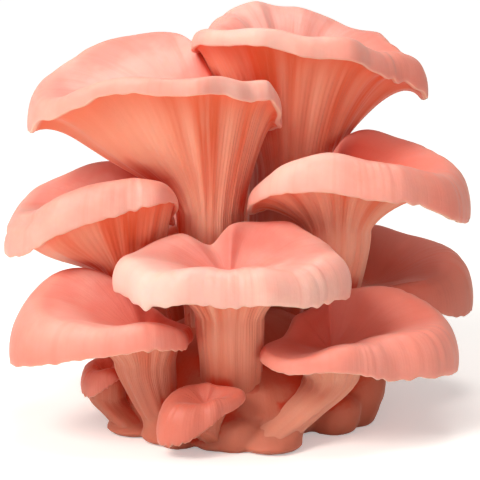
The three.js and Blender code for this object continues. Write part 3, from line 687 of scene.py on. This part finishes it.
def foot_body(m):
    """The lower part of a stem, spreading into the butt."""
    x, y, z = m["foot"]
    stem_height = m["neck"][2] - z
    tall = min(FOOT_SHARE_OF_STEM * stem_height, FOOT_SHARE_OF_MOUND * MOUND_HEIGHT)
    rings = []
    for share in np.linspace(1, 0, FOOT_ROWS):
        s = 1 - share * tall / stem_height
        middle = stem_middle(m, s)
        radius = stem_radius(m, m["neck_radius"], s) - FOOT_INSET + FOOT_SPREAD * (1 - share) ** 2
        rings.append(level_ring(middle[0], middle[1], middle[2], radius))
    sole = (SOLE_INWARD * x, SOLE_INWARD * y, 0)
    rings.append(level_ring(*sole, m["foot_radius"] + FOOT_SOLE))
    return lofted(rings, stem_middle(m, 1 - tall / stem_height), sole)


def butt_bodies():
    yield mound_body()
    for stub in STUBS:
        yield stub_body(*stub)
    for m in MUSHROOMS.values():
        yield foot_body(m)


def joined_bodies(bodies):
    """One object of the bodies, remeshed into one surface and softened where they meet."""
    points, quads, triangles, start = [], [], [], 0
    for body_points, body_quads, body_triangles in bodies:
        points.append(body_points)
        quads.append(body_quads + start)
        triangles.append(body_triangles + start)
        start += len(body_points)
    obj = mesh_object("butt_flesh", np.vstack(points), np.vstack(quads), np.vstack(triangles))
    remesh = obj.modifiers.new("join", "REMESH")
    remesh.mode = "VOXEL"
    remesh.voxel_size = REMESH_STEP * MM
    soften = obj.modifiers.new("soften", "SMOOTH")
    soften.factor = SOFTEN_FACTOR
    soften.iterations = SOFTEN_STEPS
    evaluated = obj.evaluated_get(bpy.context.evaluated_depsgraph_get())
    joined = bpy.data.meshes.new_from_object(evaluated)
    obj.modifiers.clear()
    obj.data = joined
    return obj


def vertex_field(mesh, name):
    values = np.empty(len(mesh.vertices) * 3, dtype=np.float32)
    mesh.vertices.foreach_get(name, values)
    return values.reshape(-1, 3).astype(float)


def swell_butt(mesh):
    """Uneven sides, on a sole that stays flat. Gives the points in millimetres."""
    places = vertex_field(mesh, "co") / MM
    x, y, z = places.T
    swell = sum(height * smooth_noise(x, y, z, size, seed) for height, size, seed in BUTT_SWELL)
    away = np.maximum(np.hypot(x, y), 1)
    above = np.clip(z / 4, 0, 1)
    places[:, :2] += (swell * above / away)[:, None] * places[:, :2]
    places[:, 2] = np.maximum(z, 0)
    mesh.vertices.foreach_set("co", (places * MM).astype(np.float32).ravel())
    mesh.polygons.foreach_set("use_smooth", [True] * len(mesh.polygons))
    mesh.update()
    return places


def butt_openness(tree, places, normals):
    """Openness at evenly picked points, spread to the others from the nearest ones."""
    sampled = np.arange(0, len(places), max(1, len(places) // BUTT_LIGHT_POINTS))
    tested = openness(tree, places[sampled], normals[sampled])
    known = KDTree(len(sampled))
    for i, k in enumerate(sampled):
        known.insert(places[k], i)
    known.balance()

    def from_nearest(place):
        return np.mean([tested[i] for _, i, _ in known.find_n(place, BUTT_LIGHT_NEIGHBOURS)])

    return np.array([from_nearest(place) for place in places])


def build_butt(tree):
    obj = joined_bodies(butt_bodies())
    places = swell_butt(obj.data)
    x, y, z = places.T
    count = len(places)
    spin = np.arctan2(y, x)
    grain = (BUTT_GRAIN_TURN * np.cos(spin), BUTT_GRAIN_TURN * np.sin(spin), BUTT_GRAIN_LENGTH * z)
    add_values(obj, "grain", np.stack(grain, axis=1), "FLOAT_VECTOR")
    add_values(obj, "open", butt_openness(tree, places, vertex_field(obj.data, "normal")))
    add_values(obj, "underside", np.ones(count))
    add_values(obj, "along", np.full(count, BUTT_ALONG))
    # Browner and darker towards the right: partly the butt's own tone, partly painted shade
    add_values(obj, "brown", BUTT_BROWN_AND_SHADE * np.clip((x - 15) / 25, 0, 1))
    for value_name in ("hollow_shade", "margin", "painted_light", "painted_shade"):
        add_values(obj, value_name, np.zeros(count))
    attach(obj, "root")
    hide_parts("base_clump")
    return obj


def linear(red, green, blue):
    """A display colour of 0 to 255 as the shader's linear colour."""
    def one(value):
        share = value / 255
        return share / 12.92 if share <= 0.04045 else ((share + 0.055) / 1.055) ** 2.4
    return (one(red), one(green), one(blue), 1)


class Nodes:
    """Short calls for building a node tree."""

    def __init__(self, tree):
        self.tree = tree

    def new(self, kind, **values):
        node = self.tree.nodes.new(kind)
        for key, value in values.items():
            setattr(node, key, value)
        return node

    def link(self, source, target):
        self.tree.links.new(source, target)

    def give(self, socket, value):
        """A constant or another node's output."""
        if isinstance(value, (int, float, tuple)):
            socket.default_value = value
        else:
            self.link(value, socket)

    def attribute(self, name, output="Fac"):
        return self.new("ShaderNodeAttribute", attribute_name=name).outputs[output]

    def math(self, operation, first, second=0.0, clamp=False):
        node = self.new("ShaderNodeMath", operation=operation, use_clamp=clamp)
        for socket, value in zip(node.inputs, (first, second)):
            self.give(socket, value)
        return node.outputs[0]

    def times(self, first, second):
        return self.math("MULTIPLY", first, second)

    def span(self, value, low, high, to_low=0.0, to_high=1.0):
        """A smooth step from to_low at low to to_high at high."""
        node = self.new("ShaderNodeMapRange", interpolation_type="SMOOTHSTEP")
        self.link(value, node.inputs["Value"])
        numbers = {"From Min": low, "From Max": high, "To Min": to_low, "To Max": to_high}
        for key, number in numbers.items():
            node.inputs[key].default_value = number
        return node.outputs["Result"]

    def mix(self, share, first, second):
        node = self.new("ShaderNodeMix", data_type="RGBA")
        before, after = [socket for socket in node.inputs if socket.type == "RGBA"]
        for socket, value in ((node.inputs[0], share), (before, first), (after, second)):
            self.give(socket, value)
        return next(socket for socket in node.outputs if socket.type == "RGBA")

    def noise(self, vector, scale, detail=3.0, roughness=0.5):
        node = self.new("ShaderNodeTexNoise")
        self.link(vector, node.inputs["Vector"])
        node.inputs["Scale"].default_value = scale
        node.inputs["Detail"].default_value = detail
        node.inputs["Roughness"].default_value = roughness
        return node.outputs["Fac"]


SKIN_PAINTED_LIGHT = linear(253, 214, 203)
SKIN_PALE = linear(251, 190, 178)
SKIN_PINK = linear(244, 157, 144)
SKIN_ROSE = linear(235, 124, 104)
EDGE_CREAM_AND_HIGHLIGHT = linear(255, 212, 190)
UNDER_ORANGE = linear(232, 108, 66)
UNDER_PALE = linear(248, 174, 146)
STEM_PEACH = linear(244, 172, 146)
STEM_PAINTED_LIGHT = linear(252, 196, 170)
STEM_SHADE = linear(188, 102, 78)
DISH_SHADE_RED = linear(198, 48, 22)
CREVICE_SHADE_RED = linear(176, 34, 8)
BROWN_TONE_AND_SHADE = linear(180, 84, 54)
# Colour and strengths of the painted glow in crevices and near the lip
PAINTED_GLOW_RED = linear(236, 70, 30)
SHEEN_PINK = linear(255, 226, 214)
PAINTED_LIP_GLOW = 0.06
PAINTED_CREVICE_GLOW = 0.12
CAP_ROUGHNESS = 0.5
BUTT_ROUGHNESS = 0.65

# The studio, in metres
FLOOR_HALF = 3.0
WORLD_LIGHT = 0.34
CLUSTER_MIDDLE = (0, 0, 0.06)
LAMPS = (
    # name, place, size, power, colour
    ("key", (-0.48, -0.46, 0.62), 0.38, 5.4, linear(255, 247, 240)),
    ("overhead", (0.05, 0.0, 0.95), 0.35, 3.0, linear(255, 250, 246)),
    ("fill", (-0.05, -0.85, 0.16), 0.5, 0.8, linear(255, 240, 230)),
)
VIEW_MIDDLE = Vector((0, 0, 0.0584))
VIEW_DISTANCE = 0.7
VIEW_ELEVATION = math.radians(12)
VIEW_HALF_WIDTH = 0.0819
SENSOR_WIDTH = 36
NEAREST_SEEN = 0.01


class Flesh:
    """The values and patterns that the colours of the flesh are mixed by."""

    def __init__(self, n):
        self.under = n.attribute("underside")
        self.margin = n.attribute("margin")
        self.along = n.attribute("along")
        self.brown = n.attribute("brown")
        self.hollow_shade = n.attribute("hollow_shade")
        self.painted_light = n.attribute("painted_light")
        self.painted_shade = n.attribute("painted_shade")
        self.opened = n.attribute("open")
        place = n.new("ShaderNodeTexCoord").outputs["Object"]
        grain = n.attribute("grain", "Vector")
        self.blotch = n.noise(place, 38, 4, 0.55)
        self.speck = n.noise(place, 900, 2, 0.6)
        self.band = n.noise(grain, 0.28, 2, 0.5)
        self.streak = n.noise(grain, 1.0, 3, 0.55)
        self.fine_streak = n.noise(grain, 3.0, 3, 0.6)
        axes = n.new("ShaderNodeSeparateXYZ")
        n.link(place, axes.inputs[0])
        self.x = axes.outputs["X"]
        self.z = axes.outputs["Z"]
        self.near_lip = n.times(n.span(self.along, 0.45, 0.0), n.span(self.along, 0.0, 0.02))


def skin_colour(n, flesh):
    """The cap's upper skin: blotched and streaked and redder towards the hollow, with painted shade, deep
    red, in the hollow, and painted shade making it redder and darker on the right and low down.
    """
    skin = n.mix(n.span(flesh.blotch, 0.35, 0.65), SKIN_PINK, SKIN_PALE)
    skin = n.mix(n.times(n.span(flesh.streak, 0.5, 0.75), 0.3), skin, SKIN_ROSE)
    skin = n.mix(n.times(n.span(flesh.along, -0.3, -0.95), 0.45), skin, SKIN_ROSE)
    # Painted shade, deep red, in the cap's hollow
    hollow_shade = n.times(flesh.hollow_shade, n.span(flesh.blotch, 0.2, 0.6, 0.75, 1.0))
    skin = n.mix(hollow_shade, skin, DISH_SHADE_RED)
    # The margin a little paler: partly its own cream tone, partly a painted highlight
    skin = n.mix(n.times(n.span(flesh.margin, 0.6, 1.0), 0.2), skin, EDGE_CREAM_AND_HIGHLIGHT)
    # Painted shade: redder and darker towards the right and low down, away from the light
    shaded_side = n.math("ADD", n.span(flesh.x, 0.02, 0.07), n.span(flesh.z, 0.055, 0.03), clamp=True)
    return n.mix(n.times(shaded_side, 0.7), skin, SKIN_ROSE)


def under_colour(n, flesh):
    """Gills and stem: streaked along their length, orange at the lip, with painted shade making them
    darker down the stem, near the floor and where they are closed in.
    """
    below = n.mix(n.span(flesh.band, 0.38, 0.62), UNDER_ORANGE, UNDER_PALE)
    below = n.mix(n.times(n.span(flesh.streak, 0.5, 0.68), 0.55), below, UNDER_PALE)
    below = n.mix(n.times(n.span(flesh.fine_streak, 0.5, 0.75), 0.22), below, UNDER_PALE)
    below = n.mix(n.times(flesh.near_lip, 0.7), below, UNDER_ORANGE)
    below = n.mix(n.times(n.span(flesh.along, 0.4, 1.2), 0.55), below, STEM_PEACH)
    # Painted shade: darker down the stem, near the floor and where the stem is closed in
    below = n.mix(n.times(n.span(flesh.along, 1.1, 1.7), 0.6), below, STEM_SHADE)
    below = n.mix(n.times(n.span(flesh.z, 0.062, 0.012), 0.6), below, STEM_SHADE)
    shaded_stem = n.times(n.span(flesh.along, 0.9, 1.2), n.span(flesh.opened, 0.72, 0.35))
    return n.mix(n.times(shaded_stem, 0.7), below, STEM_SHADE)


def flesh_colour(n, flesh, crevice_shade):
    """Skin above and gills below, with the cream edge and a painted rim highlight, painted light on lit
    parts, painted shade, deep red, in crevices and on shaded parts, and browned parts, partly own tone
    and partly painted shade.
    """
    below_share = n.span(flesh.under, 0.2, 0.85)
    colour = n.mix(below_share, skin_colour(n, flesh), under_colour(n, flesh))
    # A thin pale line along the lip: partly its own cream edge, partly a painted highlight along the rim
    rim_highlight = n.times(n.span(flesh.under, 0.1, 0.3), n.span(flesh.under, 0.95, 0.6))
    colour = n.mix(n.times(rim_highlight, 0.75), colour, EDGE_CREAM_AND_HIGHLIGHT)
    # Painted light: lit parts of the cap and stem are made lighter
    colour = n.mix(flesh.painted_light, colour, n.mix(below_share, SKIN_PAINTED_LIGHT, STEM_PAINTED_LIGHT))
    # Painted shade, deep red, on shaded sides of stems and undersides
    colour = n.mix(flesh.painted_shade, colour, CREVICE_SHADE_RED)
    # Painted shade, deep red, in crevices
    colour = n.mix(n.times(crevice_shade, 0.95), colour, CREVICE_SHADE_RED)
    # Browner and darker flesh: partly its own tone, partly painted shade
    browned_and_shaded = n.times(flesh.brown, n.span(flesh.blotch, 0.2, 0.7, 0.7, 1.0))
    return n.mix(browned_and_shaded, colour, BROWN_TONE_AND_SHADE)


def flesh_material(name, roughness):
    material = bpy.data.materials.new(name)
    material.use_nodes = True
    n = Nodes(material.node_tree)
    flesh = Flesh(n)
    shader = material.node_tree.nodes["Principled BSDF"]
    # Painted shade: flesh that other flesh closes in is made deep red
    crevice_shade = n.span(flesh.opened, 0.66, 0.22)
    n.link(flesh_colour(n, flesh, crevice_shade), shader.inputs["Base Color"])

    # Painted light: a red glow, given as emission, in crevices and near the lip, standing in for light
    # that comes through the flesh
    painted_lip_glow = n.times(n.times(flesh.near_lip, flesh.under), PAINTED_LIP_GLOW)
    glow = n.math("ADD", n.times(crevice_shade, PAINTED_CREVICE_GLOW), painted_lip_glow)
    n.link(glow, shader.inputs["Emission Strength"])
    shader.inputs["Emission Color"].default_value = PAINTED_GLOW_RED

    uneven_shine = n.times(n.math("SUBTRACT", flesh.blotch, 0.5), 0.25)
    n.link(n.math("ADD", uneven_shine, roughness), shader.inputs["Roughness"])
    shader.inputs["Subsurface Weight"].default_value = 0.45
    shader.inputs["Subsurface Radius"].default_value = (1.0, 0.35, 0.22)
    shader.inputs["Subsurface Scale"].default_value = 0.005
    shader.inputs["Specular IOR Level"].default_value = 0.45
    shader.inputs["Sheen Weight"].default_value = 0.35
    shader.inputs["Sheen Roughness"].default_value = 0.4
    shader.inputs["Sheen Tint"].default_value = SHEEN_PINK

    bump = n.new("ShaderNodeBump")
    bump.inputs["Strength"].default_value = 0.35
    bump.inputs["Distance"].default_value = 0.0005
    fine = n.math("ADD", n.times(flesh.fine_streak, 0.7), n.times(flesh.speck, 0.3))
    n.link(fine, bump.inputs["Height"])
    n.link(bump.outputs["Normal"], shader.inputs["Normal"])
    return material


def make_floor():
    """A pale floor, a little brighter far off, so that it runs into the background."""
    half = FLOOR_HALF
    mesh = bpy.data.meshes.new("floor")
    corners = [(-half, -half, 0), (half, -half, 0), (half, half, 0), (-half, half, 0)]
    mesh.from_pydata(corners, [], [(0, 1, 2, 3)])
    obj = bpy.data.objects.new("floor", mesh)
    bpy.context.scene.collection.objects.link(obj)
    material = bpy.data.materials.new("floor")
    material.use_nodes = True
    shader = material.node_tree.nodes["Principled BSDF"]
    shader.inputs["Base Color"].default_value = linear(250, 249, 246)
    shader.inputs["Roughness"].default_value = 0.8
    shader.inputs["Emission Color"].default_value = linear(255, 255, 255)
    n = Nodes(material.node_tree)
    seen_directly = n.new("ShaderNodeLightPath").outputs["Is Camera Ray"]
    distance = n.new("ShaderNodeVectorMath", operation="LENGTH")
    n.link(n.new("ShaderNodeTexCoord").outputs["Object"], distance.inputs[0])
    glow = n.span(distance.outputs["Value"], 0.1, 0.9, 0.34, 0.66)
    n.link(n.times(seen_directly, glow), shader.inputs["Emission Strength"])
    mesh.materials.append(material)
    return obj


def make_world():
    """Soft light from all round, and a pale background where it is seen directly."""
    world = bpy.data.worlds.new("studio")
    bpy.context.scene.world = world
    world.use_nodes = True
    n = Nodes(world.node_tree)
    light = world.node_tree.nodes["Background"]
    light.inputs["Color"].default_value = linear(255, 253, 250)
    light.inputs["Strength"].default_value = WORLD_LIGHT
    seen = n.new("ShaderNodeBackground")
    seen.inputs["Color"].default_value = linear(252, 251, 249)
    choose = n.new("ShaderNodeMixShader")
    n.link(n.new("ShaderNodeLightPath").outputs["Is Camera Ray"], choose.inputs[0])
    n.link(light.outputs[0], choose.inputs[1])
    n.link(seen.outputs[0], choose.inputs[2])
    n.link(choose.outputs[0], world.node_tree.nodes["World Output"].inputs["Surface"])


def area_light(name, place, size, power, colour):
    """A square lamp that faces the middle of the cluster."""
    data = bpy.data.lights.new(name, "AREA")
    data.energy = power
    data.size = size
    data.color = colour[:3]
    lamp = bpy.data.objects.new(name, data)
    lamp.location = place
    aim = Vector(CLUSTER_MIDDLE) - Vector(place)
    lamp.rotation_euler = aim.to_track_quat("-Z", "Y").to_euler()
    bpy.context.scene.collection.objects.link(lamp)


def make_camera():
    data = bpy.data.cameras.new("camera")
    camera = bpy.data.objects.new("camera", data)
    bpy.context.scene.collection.objects.link(camera)
    back = Vector((0, -math.cos(VIEW_ELEVATION), math.sin(VIEW_ELEVATION)))
    camera.location = VIEW_MIDDLE + VIEW_DISTANCE * back
    camera.rotation_euler = (-back).to_track_quat("-Z", "Y").to_euler()
    data.sensor_width = SENSOR_WIDTH
    data.lens = 0.5 * SENSOR_WIDTH * VIEW_DISTANCE / VIEW_HALF_WIDTH
    data.clip_start = NEAREST_SEEN
    bpy.context.scene.camera = camera


# The cluster
cap_flesh = flesh_material("cap_flesh", CAP_ROUGHNESS)
butt_flesh = flesh_material("butt_flesh", BUTT_ROUGHNESS)
shaped = {node_name: shape_of(sizes) for node_name, sizes in MUSHROOMS.items()}
surroundings = light_tree({node_name: shape for node_name, (shape, looks) in shaped.items()})
for node_name, sizes in MUSHROOMS.items():
    mushroom = build_mushroom(node_name, sizes, *shaped[node_name], surroundings)
    mushroom.data.materials.append(cap_flesh)
butt = build_butt(surroundings)
butt.data.materials.clear()
butt.data.materials.append(butt_flesh)

# Floor, light and camera
floor = make_floor()
make_world()
for lamp in LAMPS:
    area_light(*lamp)
make_camera()
bpy.context.scene.view_settings.view_transform = "Standard"
